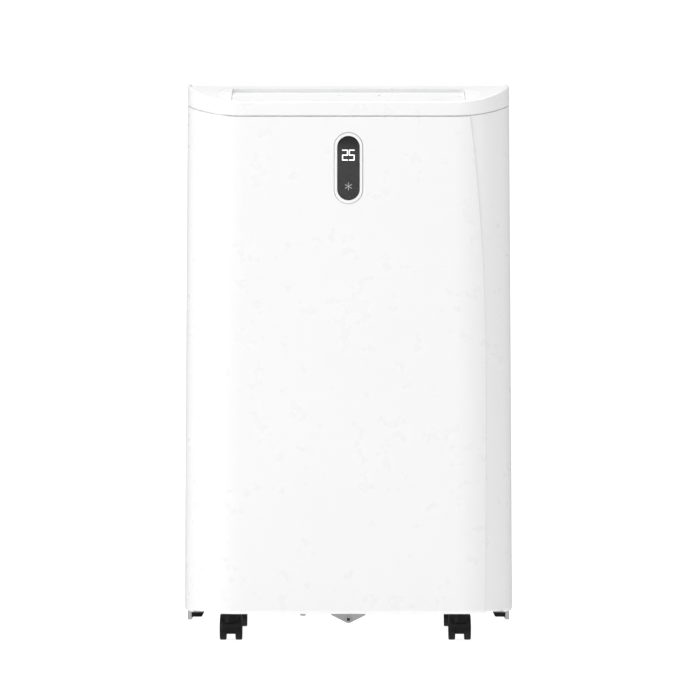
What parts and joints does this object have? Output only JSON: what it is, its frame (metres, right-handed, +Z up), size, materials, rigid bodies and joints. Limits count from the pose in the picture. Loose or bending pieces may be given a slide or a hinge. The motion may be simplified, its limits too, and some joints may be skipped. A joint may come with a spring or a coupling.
{
  "type": "portable air conditioner",
  "caption": "Tall white cabinet air conditioner on casters, with a capsule display, a flap outlet in a rising crown, rear intake grilles and a round exhaust outlet.",
  "frame": {"origin": "on the floor under the middle of the cabinet", "axes": "+Z up, the front with the display faces -Y, +X is to the right seen from the front"},
  "size_m": [0.415, 0.34, 0.705],
  "materials": {
    "white_shell": "smooth gloss",
    "deck_white": "fine moulded texture",
    "outlet_white": "smooth",
    "grille_white": "fine moulded texture",
    "vane_grey": "satin",
    "control_grey": "smooth gloss",
    "button_white": "satin",
    "bezel_white": "gloss",
    "display_dark": "gloss",
    "display_light": "lit",
    "pan_grey": "moulded",
    "foam_white": "expanded foam",
    "caster_black": "satin",
    "caster_tread": "satin",
    "bracket_grey": "satin",
    "pad_rubber": "matt",
    "tab_steel": "plated",
    "fin_aluminium": "plain",
    "copper": "plain",
    "fan_plastic": "satin",
    "motor_steel": "satin",
    "compressor_black": "satin",
    "grommet_rubber": "matt",
    "zinc_steel": "zinc plated",
    "filter_mesh": "woven mesh"
  },
  "bodies": {
    "cabinet": {"front_panel": "white_shell", "side_panel_left": "white_shell", "side_panel_right": "white_shell", "top_rim": "white_shell", "top_deck": "deck_white", "rear_panel": "deck_white", "exhaust_collar": "deck_white", "outlet_frame": "outlet_white", "control_panel": "control_grey", "display_bezel": "bezel_white", "display_window": "display_dark", "display_symbols": "display_light", "base_pan": "pan_grey", "drain_tray": "pan_grey", "outlet_duct": "foam_white", "evaporator_scroll": "foam_white", "condenser_scroll": "foam_white", "exhaust_duct": "foam_white", "foot_brackets": "bracket_grey", "foot_pads": "pad_rubber", "front_tab": "tab_steel", "evaporator_fins": "fin_aluminium", "condenser_fins": "fin_aluminium", "evaporator_tubes": "copper", "condenser_tubes": "copper", "refrigerant_pipes": "copper", "accumulator": "copper", "evaporator_motor": "motor_steel", "condenser_motor": "motor_steel", "compressor": "compressor_black", "compressor_grommets": "grommet_rubber", "cord_gland": "grommet_rubber", "compressor_nuts": "zinc_steel", "case_screws": "zinc_steel", "electrical_box": "zinc_steel"},
    "louver": {"louver_flap": "outlet_white"},
    "vane_one": {"vane_1": "vane_grey"},
    "vane_two": {"vane_2": "vane_grey"},
    "vane_three": {"vane_3": "vane_grey"},
    "vane_four": {"vane_4": "vane_grey"},
    "link": {"vane_link": "vane_grey"},
    "evaporator_rotor": {"evaporator_wheel": "fan_plastic"},
    "condenser_rotor": {"condenser_wheel": "fan_plastic"},
    "upper_filter": {"upper_grille": "grille_white", "upper_filter_mesh": "filter_mesh"},
    "lower_filter": {"lower_grille": "grille_white", "lower_filter_mesh": "filter_mesh"},
    "plug": {"drain_plug": "grommet_rubber"},
    "power_button": {"button_power": "button_white"},
    "mode_button": {"button_mode": "button_white"},
    "fan_button": {"button_fan": "button_white"},
    "timer_button": {"button_timer": "button_white"},
    "caster_front_left": {"caster_hood_front_left": "caster_black"},
    "wheels_front_left": {"caster_wheels_front_left": "caster_tread"},
    "caster_front_right": {"caster_hood_front_right": "caster_black"},
    "wheels_front_right": {"caster_wheels_front_right": "caster_tread"},
    "caster_rear_left": {"caster_hood_rear_left": "caster_black"},
    "wheels_rear_left": {"caster_wheels_rear_left": "caster_tread"},
    "caster_rear_right": {"caster_hood_rear_right": "caster_black"},
    "wheels_rear_right": {"caster_wheels_rear_right": "caster_tread"}
  },
  "joints": [
    {"name": "louver_tilt", "type": "hinge", "parent": "cabinet", "child": "louver", "pos_m": [0, -0.136, 0.68282], "axis": [1, 0, 0], "range_deg": [0, 70]},
    {"name": "vane_one_swing", "type": "hinge", "parent": "cabinet", "child": "vane_one", "pos_m": [-0.102, -0.136, 0.64], "axis": [0, 0, 1], "range_deg": [-32, 32]},
    {"name": "vane_two_swing", "type": "hinge", "parent": "cabinet", "child": "vane_two", "pos_m": [-0.034, -0.136, 0.64], "axis": [0, 0, 1], "range_deg": [-32, 32]},
    {"name": "vane_three_swing", "type": "hinge", "parent": "cabinet", "child": "vane_three", "pos_m": [0.034, -0.136, 0.64], "axis": [0, 0, 1], "range_deg": [-32, 32]},
    {"name": "vane_four_swing", "type": "hinge", "parent": "cabinet", "child": "vane_four", "pos_m": [0.102, -0.136, 0.64], "axis": [0, 0, 1], "range_deg": [-32, 32]},
    {"name": "link_travel", "type": "slide", "parent": "cabinet", "child": "link", "axis": [1, 0, 0], "range_m": [-0.005, 0.005]},
    {"name": "evaporator_spin", "type": "hinge", "parent": "cabinet", "child": "evaporator_rotor", "pos_m": [0, 0, 0.51], "axis": [0, 1, 0], "continuous": true},
    {"name": "condenser_spin", "type": "hinge", "parent": "cabinet", "child": "condenser_rotor", "pos_m": [-0.075, 0, 0.142], "axis": [0, 1, 0], "continuous": true},
    {"name": "upper_filter_pull", "type": "slide", "parent": "cabinet", "child": "upper_filter", "axis": [0, 1, 0], "range_m": [0, 0.06]},
    {"name": "lower_filter_pull", "type": "slide", "parent": "cabinet", "child": "lower_filter", "axis": [0, 1, 0], "range_m": [0, 0.06]},
    {"name": "drain_plug_pull", "type": "slide", "parent": "cabinet", "child": "plug", "axis": [0, 1, 0], "range_m": [0, 0.04]},
    {"name": "power_press", "type": "slide", "parent": "cabinet", "child": "power_button", "axis": [0, 0, 1], "range_m": [-0.0015, 0], "stiffness_N_per_m": 400},
    {"name": "mode_press", "type": "slide", "parent": "cabinet", "child": "mode_button", "axis": [0, 0, 1], "range_m": [-0.0015, 0], "stiffness_N_per_m": 400},
    {"name": "fan_press", "type": "slide", "parent": "cabinet", "child": "fan_button", "axis": [0, 0, 1], "range_m": [-0.0015, 0], "stiffness_N_per_m": 400},
    {"name": "timer_press", "type": "slide", "parent": "cabinet", "child": "timer_button", "axis": [0, 0, 1], "range_m": [-0.0015, 0], "stiffness_N_per_m": 400},
    {"name": "swivel_front_left", "type": "hinge", "parent": "cabinet", "child": "caster_front_left", "pos_m": [-0.1483, -0.124, 0.05], "axis": [0, 0, 1], "continuous": true},
    {"name": "roll_front_left", "type": "hinge", "parent": "caster_front_left", "child": "wheels_front_left", "pos_m": [-0.1483, -0.114, 0.015], "axis": [1, 0, 0], "continuous": true},
    {"name": "swivel_front_right", "type": "hinge", "parent": "cabinet", "child": "caster_front_right", "pos_m": [0.1403, -0.124, 0.05], "axis": [0, 0, 1], "continuous": true},
    {"name": "roll_front_right", "type": "hinge", "parent": "caster_front_right", "child": "wheels_front_right", "pos_m": [0.1403, -0.114, 0.015], "axis": [1, 0, 0], "continuous": true},
    {"name": "swivel_rear_left", "type": "hinge", "parent": "cabinet", "child": "caster_rear_left", "pos_m": [-0.1483, 0.099, 0.05], "axis": [0, 0, 1], "continuous": true},
    {"name": "roll_rear_left", "type": "hinge", "parent": "caster_rear_left", "child": "wheels_rear_left", "pos_m": [-0.1483, 0.109, 0.015], "axis": [1, 0, 0], "continuous": true},
    {"name": "swivel_rear_right", "type": "hinge", "parent": "cabinet", "child": "caster_rear_right", "pos_m": [0.1403, 0.099, 0.05], "axis": [0, 0, 1], "continuous": true},
    {"name": "roll_rear_right", "type": "hinge", "parent": "caster_rear_right", "child": "wheels_rear_right", "pos_m": [0.1403, 0.109, 0.015], "axis": [1, 0, 0], "continuous": true}
  ],
  "couplings": [
    {"joint": "vane_one_swing", "follows": "link_travel", "rad_per_m": -103},
    {"joint": "vane_two_swing", "follows": "link_travel", "rad_per_m": -103},
    {"joint": "vane_three_swing", "follows": "link_travel", "rad_per_m": -103},
    {"joint": "vane_four_swing", "follows": "link_travel", "rad_per_m": -103}
  ]
}
